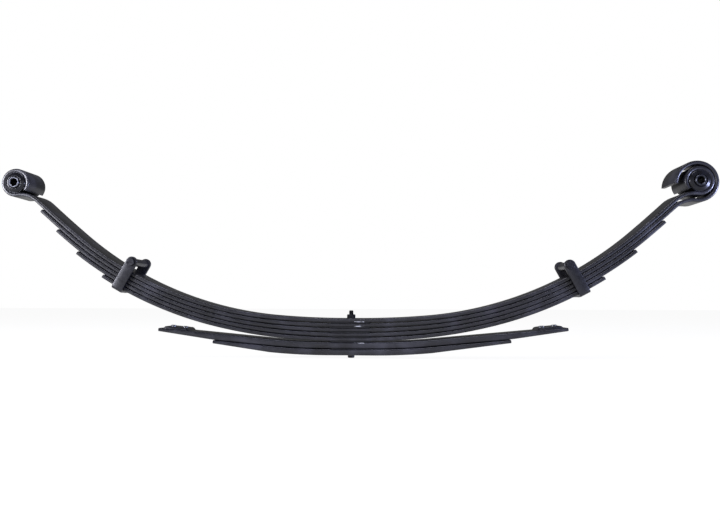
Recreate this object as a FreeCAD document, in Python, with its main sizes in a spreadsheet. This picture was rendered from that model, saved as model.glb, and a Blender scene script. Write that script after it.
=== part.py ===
import FreeCAD, Part
import Sketcher
import math
import os

# Multi-leaf truck spring. X runs along the spring, Y across the leaves, Z up.
# The origin is the middle of the axle seat, on the underside of the lowest leaf.

DIMS = {
    # leaf stock
    "leaf_width": 60.0,
    "leaf_thick": 6.6,
    "overload_thick": 11.0,
    # spaces between neighbouring leaves: at the clamp, along the arms, under the overload pair
    "clamp_gap": 1.6,
    "arm_gap": 0.7,
    "overload_gap": 1.0,
    # top face of the main leaf: flat seat, crown, body and end curves
    "seat_half": 12.5,
    "crown_radius": 1465.0,
    "crown_angle": 4.8,
    "body_radius": 651.0,
    "merge_angle": 14.0,
    "body_angle_left": 39.7,
    "body_angle_right": 40.4,
    "end_radius": 2356.0,
    "end_run_left": 90.0,
    "end_run_right": 76.0,
    # rolled eyes, centred a little below the middle of the main leaf's thickness
    "eye_bore_radius": 19.0,
    "eye_drop": 2.4,
    "eye_bend_radius": 50.0,
    "eye_roll": 315.0,
    # the second leaf wraps the right eye with room to move
    "wrap_bend_radius": 50.0,
    "wrap_space": 3.9,
    "wrap_roll": 192.0,
    "wrap_opening": 4.5,
    "wrap_tail_roll": 82.0,
    "wrap_rise": 1.3,
    "wrap_setback": 2.9,
    # where the shorter leaves end: runs past the body curve, or tip angles on it
    "second_run_left": 72.0,
    "third_run_left": 26.0,
    "third_run_right": 37.0,
    "fourth_tip_left": 37.3,
    "fourth_tip_right": 37.6,
    "fifth_tip_left": 32.0,
    "fifth_tip_right": 31.6,
    # overload pair: flat seat, one curve, straight tapered ends
    "overload_seat_half": 40.0,
    "overload_radius": 1080.0,
    "overload_angle": 5.3,
    "upper_run_left": 200.4,
    "upper_run_right": 236.4,
    "upper_taper": 95.0,
    "lower_run_left": 101.4,
    "lower_run_right": 137.4,
    "overload_tip_thick": 5.5,
    # clamp liners
    "liner_half": 34.0,
    "liner_slack": 0.05,
    # centre bolt
    "bolt_radius": 4.0,
    "bolt_hole_gap": 0.4,
    "bolt_head_radius": 6.0,
    "bolt_head_tall": 6.0,
    "bolt_head_chamfer": 1.0,
    "bolt_stud": 14.0,
    "bolt_tip_chamfer": 0.8,
    # shallow spot faces that seat the bolt's head and nut square on the leaves
    "recess_deep": 0.3,
    "head_recess_gap": 1.0,
    "nut_recess_gap": 1.2,
    "nut_flats": 13.0,
    "nut_tall": 7.2,
    # eye bushes
    "press_gap": 0.05,
    "shell_wall": 2.0,
    "shell_long": 60.0,
    "sleeve_bore_radius": 6.5,
    "sleeve_wall": 3.5,
    "sleeve_long": 72.0,
    "rubber_lip": 3.5,
    "rubber_lip_radius": 18.0,
    "rubber_nose_radius": 12.5,
    # rebound clips
    "clip_station_left": 410.0,
    "clip_station_right": 398.0,
    "clip_wide": 20.0,
    "clip_thick": 5.0,
    "clip_side_gap": 1.5,
    "clip_bolt_rise": 16.0,
    "clip_corner": 3.0,
    "clip_bolt_radius": 4.0,
    "clip_hole_gap": 0.3,
    "clip_head_flats": 13.0,
    "clip_head_tall": 5.3,
    "clip_nut_tall": 6.5,
    "clip_stud": 3.0,
    "tube_radius": 7.0,
    "tube_end_gap": 0.2,
    "rivet_radius": 4.0,
    "rivet_hole_gap": 0.1,
    "rivet_head_radius": 7.0,
    "rivet_head_tall": 3.2,
    # anti-squeak buttons in the leaf tips
    "button_radius": 11.0,
    "button_lift": 0.1,
    "button_thick": 0.65,
    "button_stem_radius": 4.0,
    "button_hole_gap": 0.2,
    "button_nub_radius": 5.0,
    "button_nub_tall": 1.8,
    "button_setback": 28.0,
    "button_setback_short": 18.0,
    # pads on the overload tips
    "pad_long": 46.0,
    "pad_wide": 52.0,
    "pad_thick": 4.5,
    "pad_setback": 6.0,
    "pad_bevel": 2.0,
    "pad_rivet_radius": 3.0,
    "pad_hole_gap": 0.1,
    "pad_rivet_head_radius": 5.5,
    "pad_rivet_head_tall": 2.0,
    "pad_rivet_pitch": 22.0,
}

EYE_LIFT = "(leaf_thick / 2 + eye_drop)"
WRAP_RADIUS = "(eye_bore_radius + leaf_thick + wrap_space)"
# holes and spot faces, each a little larger than what sits in it
BOLT_HOLE = "bolt_radius + bolt_hole_gap"
CLIP_HOLE = "clip_bolt_radius + clip_hole_gap"
RIVET_HOLE = "rivet_radius + rivet_hole_gap"
BUTTON_HOLE = "button_stem_radius + button_hole_gap"
PAD_HOLE = "pad_rivet_radius + pad_hole_gap"
HEAD_RECESS = "bolt_head_radius + head_recess_gap"
NUT_RECESS = "nut_flats / 2 + nut_recess_gap"
LEAVES = ["main", "second", "third", "fourth", "fifth"]
WORKING_CELL = "D1"

doc = FreeCAD.newDocument("leaf_spring")
sheet = doc.addObject("Spreadsheet::Sheet", "dims")
nodes = []
worked_out = {}


def fill_sheet():
    """One row per driving size: its name in column A, its value in column B."""
    for row, (alias, size) in enumerate(DIMS.items(), start=1):
        sheet.set(f"A{row}", alias)
        sheet.set(f"B{row}", str(size))
        sheet.setAlias(f"B{row}", alias)
    doc.recompute()


def bound(formula):
    """The formula with every size name pointing at the sheet."""
    words, word = [], ""
    for char in formula + " ":
        if char.isalnum() or char == "_":
            word += char
            continue
        words.append(f"dims.{word}" if word in DIMS else word)
        words.append(char)
        word = ""
    return "".join(words).strip()


def value(formula):
    """The number that a formula gives with the sheet's present sizes."""
    if formula not in worked_out:
        sheet.set(WORKING_CELL, "=" + formula)
        sheet.recompute()
        found = sheet.get(WORKING_CELL)
        worked_out[formula] = float(getattr(found, "Value", found))
    return worked_out[formula]


# ---------------------------------------------------------------- sketches and features


def new_body(name):
    body = doc.addObject("PartDesign::Body", name)
    body.Label = name
    nodes.append(body)
    return body


def new_sketch(body, name, role):
    """A sketch on one of the body's own origin planes."""
    sketch = body.newObject("Sketcher::SketchObject", name)
    plane = [item for item in body.Origin.OriginFeatures if item.Role == role][0]
    sketch.AttachmentSupport = [(plane, "")]
    sketch.MapMode = "FlatFace"
    return sketch


def tie(sketch, kind, *places, formula):
    """A sketch dimension that follows the sheet."""
    number = value(formula)
    if kind == "Angle":
        number = math.radians(number)
    index = sketch.addConstraint(Sketcher.Constraint(kind, *places, number))
    sketch.setExpression(f"Constraints[{index}]", bound(formula))


def pin(sketch, edge, end, x_formula, y_formula):
    """Holds one end of an edge at a point of the sketch plane."""
    for kind, axis, formula in (("DistanceX", -2, x_formula), ("DistanceY", -1, y_formula)):
        if formula == "0":
            sketch.addConstraint(Sketcher.Constraint("PointOnObject", edge, end, axis))
        else:
            tie(sketch, kind, -1, 1, edge, end, formula=formula)


def join(sketch, edge, end, other, other_end):
    sketch.addConstraint(Sketcher.Constraint("Coincident", edge, end, other, other_end))


def outline(sketch, corners):
    """A closed outline of straight edges through corners given as pairs of formulas."""
    points = [FreeCAD.Vector(value(x), value(y), 0) for x, y in corners]
    count = len(points)
    for index in range(count):
        edge = Part.LineSegment(points[index], points[(index + 1) % count])
        sketch.addGeometry(edge, False)
    for index, (x_formula, y_formula) in enumerate(corners):
        join(sketch, index, 2, (index + 1) % count, 1)
        pin(sketch, index, 1, x_formula, y_formula)


def circle(sketch, radius, x_formula="0", y_formula="0"):
    centre = FreeCAD.Vector(value(x_formula), value(y_formula), 0)
    round_edge = Part.Circle(centre, FreeCAD.Vector(0, 0, 1), value(radius))
    index = sketch.addGeometry(round_edge, False)
    pin(sketch, index, 3, x_formula, y_formula)
    tie(sketch, "Radius", index, formula=radius)


def pad(body, sketch, length):
    """A pad that grows the same amount to both sides of its sketch."""
    feature = body.newObject("PartDesign::Pad", "Pad")
    feature.Profile = sketch
    feature.Midplane = True
    feature.setExpression("Length", bound(length))
    return feature


def cut_through(body, sketch):
    """A pocket through the whole body, both ways from its sketch."""
    feature = body.newObject("PartDesign::Pocket", "Pocket")
    feature.Profile = sketch
    feature.Type = "ThroughAll"
    feature.Midplane = True
    return feature


def turn(body, sketch, axis):
    """A full revolution about one of the sketch's own axes."""
    feature = body.newObject("PartDesign::Revolution", "Revolution")
    feature.Profile = sketch
    feature.ReferenceAxis = (sketch, [axis])
    feature.Angle = 360.0
    return feature


def bore(body, name, radius, length, placement):
    """A straight hole, centred on the placement, along its Z axis."""
    feature = body.newObject("PartDesign::SubtractiveCylinder", name)
    feature.setExpression("Radius", bound(radius))
    feature.setExpression("Height", bound(length))
    down = FreeCAD.Placement(FreeCAD.Vector(0, 0, -value(length) / 2), FreeCAD.Rotation())
    feature.Placement = placement.multiply(down)
    return feature


# ---------------------------------------------------------------- leaf paths

# A path is the upper face of a leaf, from its flat seat outwards: arcs that turn
# up (1) or down (-1), and straight runs. Every size in it is a formula.


def arc(radius, angle, bend=1):
    return {"radius": radius, "angle": angle, "bend": bend}


def run(length):
    return {"length": length}


def degrees(length, radius):
    return f"(({length}) / ({radius}) * 180 / pi)"


# The leaves lie further apart at the clamp than along the arms. Two arcs of each
# lower leaf, crown and merge, take up the difference and leave it parallel to the
# main leaf: these are the shares of that difference which their radii change by.
SPREAD = "(sin(merge_angle) - sin(crown_angle) - sin(merge_angle - crown_angle))"
CROWN_SHARE = f"(sin(merge_angle) - sin(crown_angle)) / {SPREAD}"
MERGE_SHARE = f"sin(crown_angle) / {SPREAD}"


def drop(level):
    """How far below the main leaf a leaf lies along the arms."""
    return f"{level} * (leaf_thick + arm_gap)"


def top_height(level):
    """Height of a leaf's upper face on the centre bolt's axis."""
    return f"(2 * overload_thick + overload_gap + {5 - level} * (leaf_thick + clamp_gap))"


def squeeze(level):
    return f"{level} * (clamp_gap - arm_gap)"


def inner_arcs(level, side, last_angle=None):
    """Crown, merge and body arcs of a leaf, which ends at last_angle if it is given."""
    last_angle = last_angle or f"body_angle_{side}"
    crown = f"(crown_radius + {drop(level)} + {squeeze(level)} * {CROWN_SHARE})"
    merge = f"(body_radius + {drop(level)} - {squeeze(level)} * {MERGE_SHARE})"
    return [
        arc(crown, "crown_angle"),
        arc(merge, "merge_angle - crown_angle"),
        arc(f"(body_radius + {drop(level)})", f"{last_angle} - merge_angle"),
    ]


def end_arc(level, length):
    """The nearly straight end of a leaf; length is measured on the main leaf."""
    return arc(f"(end_radius + {drop(level)})", degrees(length, "end_radius"))


EYE_ANGLE = f"acos((eye_bend_radius - {EYE_LIFT}) / (eye_bend_radius + eye_bore_radius))"
EYE_REACH = f"((eye_bend_radius + eye_bore_radius) * sin({EYE_ANGLE}))"
WRAP_DEPTH = f"(wrap_rise - {EYE_LIFT} + leaf_thick + arm_gap + wrap_bend_radius)"
WRAP_ANGLE = f"acos({WRAP_DEPTH} / (wrap_bend_radius + {WRAP_RADIUS}))"
WRAP_REACH = f"((wrap_bend_radius + {WRAP_RADIUS}) * sin({WRAP_ANGLE}))"
WRAP_LEAD = f"({WRAP_REACH} - {EYE_REACH} + wrap_setback)"


def main_path(side):
    """Arm, reverse bend and rolled eye of the main leaf."""
    return inner_arcs(0, side) + [
        end_arc(0, f"end_run_{side}"),
        arc("eye_bend_radius", EYE_ANGLE, -1),
        arc("eye_bore_radius", "eye_roll"),
    ]


def wrap_path():
    """Right arm of the second leaf, which wraps the eye of the main leaf."""
    return inner_arcs(1, "right") + [
        end_arc(1, f"end_run_right - {WRAP_LEAD}"),
        arc("wrap_bend_radius", WRAP_ANGLE, -1),
        arc(WRAP_RADIUS, "wrap_roll"),
        arc(f"{WRAP_RADIUS} + wrap_opening", "wrap_tail_roll"),
    ]


def long_path(level, side, length):
    return inner_arcs(level, side) + [end_arc(level, length)]


PATHS = {
    "main": {"left": main_path("left"), "right": main_path("right")},
    "second": {"left": long_path(1, "left", "second_run_left"), "right": wrap_path()},
    "third": {
        "left": long_path(2, "left", "third_run_left"),
        "right": long_path(2, "right", "third_run_right"),
    },
    "fourth": {
        "left": inner_arcs(3, "left", "fourth_tip_left"),
        "right": inner_arcs(3, "right", "fourth_tip_right"),
    },
    "fifth": {
        "left": inner_arcs(4, "left", "fifth_tip_left"),
        "right": inner_arcs(4, "right", "fifth_tip_right"),
    },
}
SIDES = {"left": -1, "right": 1}


def offset_path(path, depth):
    """The same path, moved down by depth: the lower face of a leaf."""
    moved = []
    for step in path:
        if "length" in step:
            moved.append(step)
            continue
        sign = "+" if step["bend"] > 0 else "-"
        moved.append(dict(step, radius=f"({step['radius']} {sign} {depth})"))
    return moved


def step_along(point, angle, step, part=1.0):
    """Where a share of one step ends: its point and its direction in radians."""
    if "length" in step:
        length = value(step["length"]) * part
        return point + FreeCAD.Vector(math.cos(angle), math.sin(angle), 0) * length, angle
    radius = value(step["radius"]) * step["bend"]
    turned = angle + math.radians(value(step["angle"])) * step["bend"] * part
    across = math.sin(turned) - math.sin(angle)
    upwards = math.cos(angle) - math.cos(turned)
    return point + FreeCAD.Vector(across, upwards, 0) * radius, turned


def step_length(step):
    if "length" in step:
        return value(step["length"])
    return value(step["radius"]) * math.radians(value(step["angle"]))


def station(start_x, start_z, path, side, distance):
    """The frame on a path, distance out from the seat's end: X along the leaf, Z up from it."""
    point = FreeCAD.Vector(value(start_x), value(start_z), 0)
    angle = 0.0
    for step in path:
        length = step_length(step)
        if distance <= length:
            point, angle = step_along(point, angle, step, distance / length)
            break
        point, angle = step_along(point, angle, step)
        distance -= length
    sign = SIDES[side]
    turned = FreeCAD.Rotation(FreeCAD.Vector(0, 1, 0), -math.degrees(angle) * sign)
    return FreeCAD.Placement(FreeCAD.Vector(point.x * sign, 0, point.y), turned)


def path_length(path):
    return sum(step_length(step) for step in path)


def draw_step(sketch, point, angle, step, sign):
    """Adds one step as an edge. Returns its number, its near and far ends, and where it leads."""
    after, turned = step_along(point, angle, step)
    near_point = FreeCAD.Vector(point.x * sign, point.y, 0)
    far_point = FreeCAD.Vector(after.x * sign, after.y, 0)
    if "length" in step:
        edge = sketch.addGeometry(Part.LineSegment(near_point, far_point), False)
        return edge, 1, 2, after, turned
    bend = step["bend"]
    radius = value(step["radius"])
    towards = FreeCAD.Vector(-math.sin(angle) * sign, math.cos(angle), 0)
    centre = near_point + towards * radius * bend
    forward = bend * sign > 0
    first, last = (near_point, far_point) if forward else (far_point, near_point)
    first, last = first - centre, last - centre
    begin = math.atan2(first.y, first.x)
    finish = math.atan2(last.y, last.x)
    if finish < begin:
        finish += 2 * math.pi
    round_edge = Part.Circle(centre, FreeCAD.Vector(0, 0, 1), radius)
    edge = sketch.addGeometry(Part.ArcOfCircle(round_edge, begin, finish), False)
    near, far = (1, 2) if forward else (2, 1)
    return edge, near, far, after, turned


def draw_face(sketch, seat_half, height, paths):
    """One face of a leaf, from tip to tip. Returns the far end of each side."""
    half, level = value(seat_half), value(height)
    seat_line = Part.LineSegment(FreeCAD.Vector(-half, level, 0), FreeCAD.Vector(half, level, 0))
    seat = sketch.addGeometry(seat_line, False)
    pin(sketch, seat, 1, f"-({seat_half})", height)
    pin(sketch, seat, 2, seat_half, height)
    ends = {}
    for side, path in paths.items():
        edge, end = seat, 2 if side == "right" else 1
        point, angle = FreeCAD.Vector(half, level, 0), 0.0
        for step in path:
            found = draw_step(sketch, point, angle, step, SIDES[side])
            new_edge, near, far, point, angle = found
            sketch.addConstraint(Sketcher.Constraint("Tangent", edge, end, new_edge, near))
            if "length" in step:
                tie(sketch, "Distance", new_edge, formula=step["length"])
            else:
                tie(sketch, "Radius", new_edge, formula=step["radius"])
                tie(sketch, "Angle", new_edge, formula=step["angle"])
            edge, end = new_edge, far
        ends[side] = (edge, end)
    return ends


def end_point(sketch, end):
    return sketch.getPoint(end[0], end[1])


def close_tip(sketch, upper, lower):
    """The straight end face of a leaf."""
    face = Part.LineSegment(end_point(sketch, upper), end_point(sketch, lower))
    edge = sketch.addGeometry(face, False)
    join(sketch, edge, 1, *upper)
    join(sketch, edge, 2, *lower)


def taper_tip(sketch, upper, lower, thick, sign, angle):
    """A thinner end face, square to the upper face, and the straight taper that leads to it."""
    top = end_point(sketch, upper)
    slope = math.radians(value(angle))
    down = FreeCAD.Vector(math.sin(slope) * sign, -math.cos(slope), 0) * value(thick)
    face = sketch.addGeometry(Part.LineSegment(top, top + down), False)
    join(sketch, face, 1, *upper)
    sketch.addConstraint(Sketcher.Constraint("Perpendicular", face, upper[0]))
    tie(sketch, "Distance", face, formula=thick)
    taper = sketch.addGeometry(Part.LineSegment(end_point(sketch, lower), top + down), False)
    join(sketch, taper, 1, *lower)
    join(sketch, taper, 2, face, 2)


def upright(height):
    """On the centre bolt's axis at this height."""
    return FreeCAD.Placement(FreeCAD.Vector(0, 0, height), FreeCAD.Rotation())


def centre_hole(body):
    sketch = new_sketch(body, "CentreHole", "XY_Plane")
    circle(sketch, BOLT_HOLE)
    cut_through(body, sketch)


# ---------------------------------------------------------------- leaves


def leaf(name, level):
    """A spring leaf: an even strip between its upper path and the concentric lower one."""
    body = new_body(name)
    sketch = new_sketch(body, "Side", "XZ_Plane")
    upper_paths = PATHS[LEAVES[level]]
    lower_paths = {side: offset_path(path, "leaf_thick") for side, path in upper_paths.items()}
    upper = draw_face(sketch, "seat_half", top_height(level), upper_paths)
    lower = draw_face(sketch, "seat_half", f"({top_height(level)} - leaf_thick)", lower_paths)
    for side in SIDES:
        close_tip(sketch, upper[side], lower[side])
    pad(body, sketch, "leaf_width")
    centre_hole(body)
    return body


def overload_paths(above, runs):
    """Upper paths of an overload leaf which lies this far below the upper one's top."""
    radius = f"(overload_radius + {above})"
    return {side: [arc(radius, "overload_angle"), run(length)] for side, length in runs.items()}


def overload_leaf(name, above, height, runs, tapers):
    """A thick leaf with straight ends that thin towards the tips."""
    body = new_body(name)
    sketch = new_sketch(body, "Side", "XZ_Plane")
    upper_paths = overload_paths(above, runs)
    lower_paths = {}
    for side, path in upper_paths.items():
        bend = offset_path(path, "overload_thick")[0]
        straight = [run(f"{runs[side]} - {tapers}")] if tapers else []
        lower_paths[side] = [bend] + straight
    upper = draw_face(sketch, "overload_seat_half", height, upper_paths)
    lower = draw_face(sketch, "overload_seat_half", f"({height} - overload_thick)", lower_paths)
    for side, sign in SIDES.items():
        ends = upper[side], lower[side]
        taper_tip(sketch, *ends, "overload_tip_thick", sign, "overload_angle")
    pad(body, sketch, "leaf_width")
    centre_hole(body)
    return body


def liner(level):
    """A thin plate between two leaves at the clamp, curved like the leaf above it."""
    body = doc.addObject("PartDesign::Body", f"liner_{level}")
    body.Label = f"liner_{level}"
    sketch = new_sketch(body, "Side", "XZ_Plane")
    crown = PATHS[LEAVES[level]]["right"][0]
    part_arc = dict(crown, radius=f"({crown['radius']} + leaf_thick)")
    part_arc["angle"] = degrees("liner_half - seat_half", part_arc["radius"])
    upper_paths = {side: [part_arc] for side in SIDES}
    thick = "(clamp_gap - liner_slack)"
    lower_paths = {side: offset_path([part_arc], thick) for side in SIDES}
    height = f"({top_height(level)} - leaf_thick)"
    upper = draw_face(sketch, "seat_half", height, upper_paths)
    lower = draw_face(sketch, "seat_half", f"({height} - {thick})", lower_paths)
    for side in SIDES:
        close_tip(sketch, upper[side], lower[side])
    pad(body, sketch, "leaf_width")
    centre_hole(body)
    return body


def flat_liner():
    """The plate between the two overload leaves, flat because their seats are."""
    body = doc.addObject("PartDesign::Body", "liner_overload")
    body.Label = "liner_overload"
    sketch = new_sketch(body, "Side", "XZ_Plane")
    top = "(overload_thick + overload_gap - liner_slack / 2)"
    bottom = "(overload_thick + liner_slack / 2)"
    outline(sketch, box_corners("-liner_half", "liner_half", bottom, top))
    pad(body, sketch, "leaf_width")
    centre_hole(body)
    return body


def box_corners(left, right, bottom, top):
    return [(left, bottom), (right, bottom), (right, top), (left, top)]


def group(name, members):
    """Separate solids that count as one piece of the set."""
    compound = doc.addObject("Part::Compound", name)
    compound.Label = name
    compound.Links = members
    nodes.append(compound)
    return compound


# ---------------------------------------------------------------- centre bolt


def revolve(body, corners, plane="XZ_Plane"):
    """A round piece about the body's own axis, from corners given as radius and height."""
    sketch = new_sketch(body, "Profile", plane)
    outline(sketch, corners)
    return turn(body, sketch, "V_Axis")


def centre_bolt():
    body = new_body("centre_bolt")
    tip = f"({top_height(0)} + bolt_stud)"
    revolve(body, [
        ("0", "-bolt_head_tall"),
        ("bolt_head_radius - bolt_head_chamfer", "-bolt_head_tall"),
        ("bolt_head_radius", "-bolt_head_tall + bolt_head_chamfer"),
        ("bolt_head_radius", "recess_deep"),
        ("bolt_radius", "recess_deep"),
        ("bolt_radius", f"{tip} - bolt_tip_chamfer"),
        ("bolt_radius - bolt_tip_chamfer", tip),
        ("0", tip),
    ])
    return body


def hexagon(sketch, flats):
    """A regular hexagon about the origin with this size across its flats."""
    corner = f"({flats} / sqrt(3))"
    outline(sketch, [(f"{corner} * cos({60 * k})", f"{corner} * sin({60 * k})") for k in range(6)])


def centre_nut():
    body = new_body("centre_bolt_nut")
    sketch = new_sketch(body, "Hexagon", "XY_Plane")
    hexagon(sketch, "nut_flats")
    feature = pad(body, sketch, "nut_tall")
    feature.Midplane = False
    hole = new_sketch(body, "Thread", "XY_Plane")
    circle(hole, "bolt_radius + press_gap")
    cut_through(body, hole)
    body.Placement = upright(value(f"{top_height(0)} - recess_deep"))
    return body


# ---------------------------------------------------------------- eye bushes


def eye_frame(side):
    """The middle of an eye, square to the spring's own axes."""
    path = PATHS["main"][side]
    length = sum(step_length(step) for step in path[:4])
    bend_start = station("seat_half", top_height(0), path, side, length)
    reach = FreeCAD.Vector(SIDES[side] * value(EYE_REACH), 0, -value(EYE_LIFT))
    return FreeCAD.Placement(bend_start.multVec(reach), FreeCAD.Rotation())


def round_sleeve(name, side, corners):
    """A round piece about the eye's axis, from corners given as radius and distance along it."""
    body = new_body(f"{name}_{side}")
    revolve(body, corners, "XY_Plane")
    body.Placement = eye_frame(side)
    return body


def bush(side):
    shell = "(eye_bore_radius - press_gap)"
    core = "(sleeve_bore_radius + sleeve_wall)"
    half = "shell_long / 2"
    round_sleeve("bush_shell", side, box_corners(f"{shell} - shell_wall", shell, f"-{half}", half))
    round_sleeve("bush_rubber", side, [
        (f"{core} + press_gap", f"-({half} + rubber_lip)"),
        ("rubber_nose_radius", f"-({half} + rubber_lip)"),
        ("rubber_lip_radius", f"-({half})"),
        (f"{shell} - shell_wall", f"-({half})"),
        (f"{shell} - shell_wall", half),
        ("rubber_lip_radius", half),
        ("rubber_nose_radius", f"{half} + rubber_lip"),
        (f"{core} + press_gap", f"{half} + rubber_lip"),
    ])
    ends = "-(sleeve_long / 2)", "sleeve_long / 2"
    round_sleeve("bush_sleeve", side, box_corners("sleeve_bore_radius", core, *ends))


# ---------------------------------------------------------------- rebound clips


def clip_frame(side):
    """Under the fifth leaf where a clip holds the pack: X along the leaf, Z square to it."""
    distance = value(f"clip_station_{side} - seat_half")
    on_top = station("seat_half", top_height(0), PATHS["main"][side], side, distance)
    down = FreeCAD.Vector(0, 0, -value(PACK_DEEP))
    return on_top.multiply(FreeCAD.Placement(down, FreeCAD.Rotation()))


PACK_DEEP = f"({drop(4)} + leaf_thick)"
CLIP_BOLT_HEIGHT = f"({PACK_DEEP} + clip_bolt_rise)"
CLIP_INNER = "(leaf_width / 2 + clip_side_gap)"
CLIP_OUTER = f"({CLIP_INNER} + clip_thick)"


def clip_strap(side):
    """A U of flat bar with round ends, drilled for its bolt and its rivet."""
    body = new_body(f"clip_strap_{side}")
    top = f"({CLIP_BOLT_HEIGHT} + clip_wide / 2 + 2)"
    profile = new_sketch(body, "Bar", "YZ_Plane")
    outline(profile, [
        (f"-{CLIP_OUTER} + clip_corner", "-clip_thick"),
        (f"{CLIP_OUTER} - clip_corner", "-clip_thick"),
        (CLIP_OUTER, "-clip_thick + clip_corner"),
        (CLIP_OUTER, top),
        (CLIP_INNER, top),
        (CLIP_INNER, "0"),
        (f"-{CLIP_INNER}", "0"),
        (f"-{CLIP_INNER}", top),
        (f"-{CLIP_OUTER}", top),
        (f"-{CLIP_OUTER}", "-clip_thick + clip_corner"),
    ])
    pad(body, profile, "clip_wide")
    round_ends(body)
    hole = new_sketch(body, "BoltHole", "XZ_Plane")
    circle(hole, CLIP_HOLE, "0", CLIP_BOLT_HEIGHT)
    cut_through(body, hole)
    rivet_hole = new_sketch(body, "RivetHole", "XY_Plane")
    circle(rivet_hole, RIVET_HOLE)
    cut_through(body, rivet_hole)
    body.Placement = clip_frame(side)
    return body


def round_ends(body):
    """Cuts both arms of a strap to a half circle about the bolt."""
    sketch = new_sketch(body, "RoundEnd", "XZ_Plane")
    half, middle = value("clip_wide / 2"), value(CLIP_BOLT_HEIGHT)
    centre = FreeCAD.Vector(0, middle, 0)
    round_edge = Part.Circle(centre, FreeCAD.Vector(0, 0, 1), half)
    sketch.addGeometry(Part.ArcOfCircle(round_edge, 0, math.pi), False)
    corners = [(half, middle), (half, middle + half + 3), (-half, middle + half + 3), (-half, middle)]
    points = [FreeCAD.Vector(x, y, 0) for x, y in corners]
    for begin, finish in zip(points, points[1:]):
        sketch.addGeometry(Part.LineSegment(begin, finish), False)
    join(sketch, 0, 1, 1, 1)
    join(sketch, 1, 2, 2, 1)
    join(sketch, 2, 2, 3, 1)
    join(sketch, 3, 2, 0, 2)
    pin(sketch, 0, 3, "0", CLIP_BOLT_HEIGHT)
    pin(sketch, 1, 1, "clip_wide / 2", CLIP_BOLT_HEIGHT)
    pin(sketch, 1, 2, "clip_wide / 2", f"{CLIP_BOLT_HEIGHT} + clip_wide / 2 + 3")
    pin(sketch, 2, 2, "-clip_wide / 2", f"{CLIP_BOLT_HEIGHT} + clip_wide / 2 + 3")
    tie(sketch, "DistanceY", -1, 1, 3, 2, formula=CLIP_BOLT_HEIGHT)
    cut_through(body, sketch)


def cross_frame(side, shift):
    """On the clip bolt's axis, shift along it: the piece's own Z points to the back."""
    place = FreeCAD.Vector(0, shift, value(CLIP_BOLT_HEIGHT))
    turned = FreeCAD.Rotation(FreeCAD.Vector(1, 0, 0), -90)
    return clip_frame(side).multiply(FreeCAD.Placement(place, turned))


def clip_bolt(side):
    body = new_body(f"clip_bolt_{side}")
    head = new_sketch(body, "Head", "XY_Plane")
    hexagon(head, "clip_head_flats")
    block = pad(body, head, "clip_head_tall")
    block.Midplane = False
    block.Reversed = True
    shank = body.newObject("PartDesign::AdditiveCylinder", "Shank")
    shank.setExpression("Radius", bound("clip_bolt_radius"))
    shank.setExpression("Height", bound(f"2 * {CLIP_OUTER} + clip_nut_tall + clip_stud"))
    body.Placement = cross_frame(side, -value(CLIP_OUTER))
    return body


def clip_nut(side):
    body = new_body(f"clip_nut_{side}")
    sketch = new_sketch(body, "Hexagon", "XY_Plane")
    hexagon(sketch, "clip_head_flats")
    pad(body, sketch, "clip_nut_tall").Midplane = False
    hole = new_sketch(body, "Thread", "XY_Plane")
    circle(hole, "clip_bolt_radius + press_gap")
    cut_through(body, hole)
    body.Placement = cross_frame(side, value(CLIP_OUTER))
    return body


def clip_tube(side):
    """The spacer that keeps the arms of a strap apart when its bolt is tightened."""
    body = new_body(f"clip_tube_{side}")
    sketch = new_sketch(body, "Ring", "XY_Plane")
    circle(sketch, "tube_radius")
    circle(sketch, "clip_bolt_radius + press_gap")
    pad(body, sketch, f"2 * ({CLIP_INNER} - tube_end_gap)")
    body.Placement = cross_frame(side, 0)
    return body


def clip_rivet(side):
    body = new_body(f"clip_rivet_{side}")
    revolve(body, [
        ("0", "-(clip_thick + rivet_head_tall)"),
        ("rivet_head_radius - 1.5", "-(clip_thick + rivet_head_tall)"),
        ("rivet_head_radius", "-(clip_thick + 1)"),
        ("rivet_head_radius", "-clip_thick"),
        ("rivet_radius", "-clip_thick"),
        ("rivet_radius", "leaf_thick"),
        ("0", "leaf_thick"),
    ])
    body.Placement = clip_frame(side)
    return body


# ---------------------------------------------------------------- tip buttons and pads


def button_frame(level, side):
    """On top of a leaf, in from its tip."""
    name = LEAVES[level]
    setback = "button_setback_short" if name == "fifth" else "button_setback"
    path = PATHS[name][side]
    distance = path_length(path) - value(setback)
    return station("seat_half", top_height(level), path, side, distance)


def tip_button(level, side):
    """A low-friction disc between two leaves, with a stem headed over under the lower one."""
    body = new_body(f"tip_button_{LEAVES[level]}_{side}")
    revolve(body, [
        ("0", "-(leaf_thick + button_nub_tall)"),
        ("button_nub_radius - 0.8", "-(leaf_thick + button_nub_tall)"),
        ("button_nub_radius", "-(leaf_thick + button_nub_tall - 0.8)"),
        ("button_nub_radius", "-leaf_thick"),
        ("button_stem_radius", "-leaf_thick"),
        ("button_stem_radius", "button_lift"),
        ("button_radius", "button_lift"),
        ("button_radius", "button_thick"),
        ("0", "button_thick"),
    ])
    body.Placement = button_frame(level, side)
    return body


def pad_frame(side, back_from_tip):
    """On top of the upper overload leaf, this far in from its tip."""
    path = overload_paths("0", UPPER_RUNS)[side]
    distance = path_length(path) - back_from_tip
    return station("overload_seat_half", UPPER_HEIGHT, path, side, distance)


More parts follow.
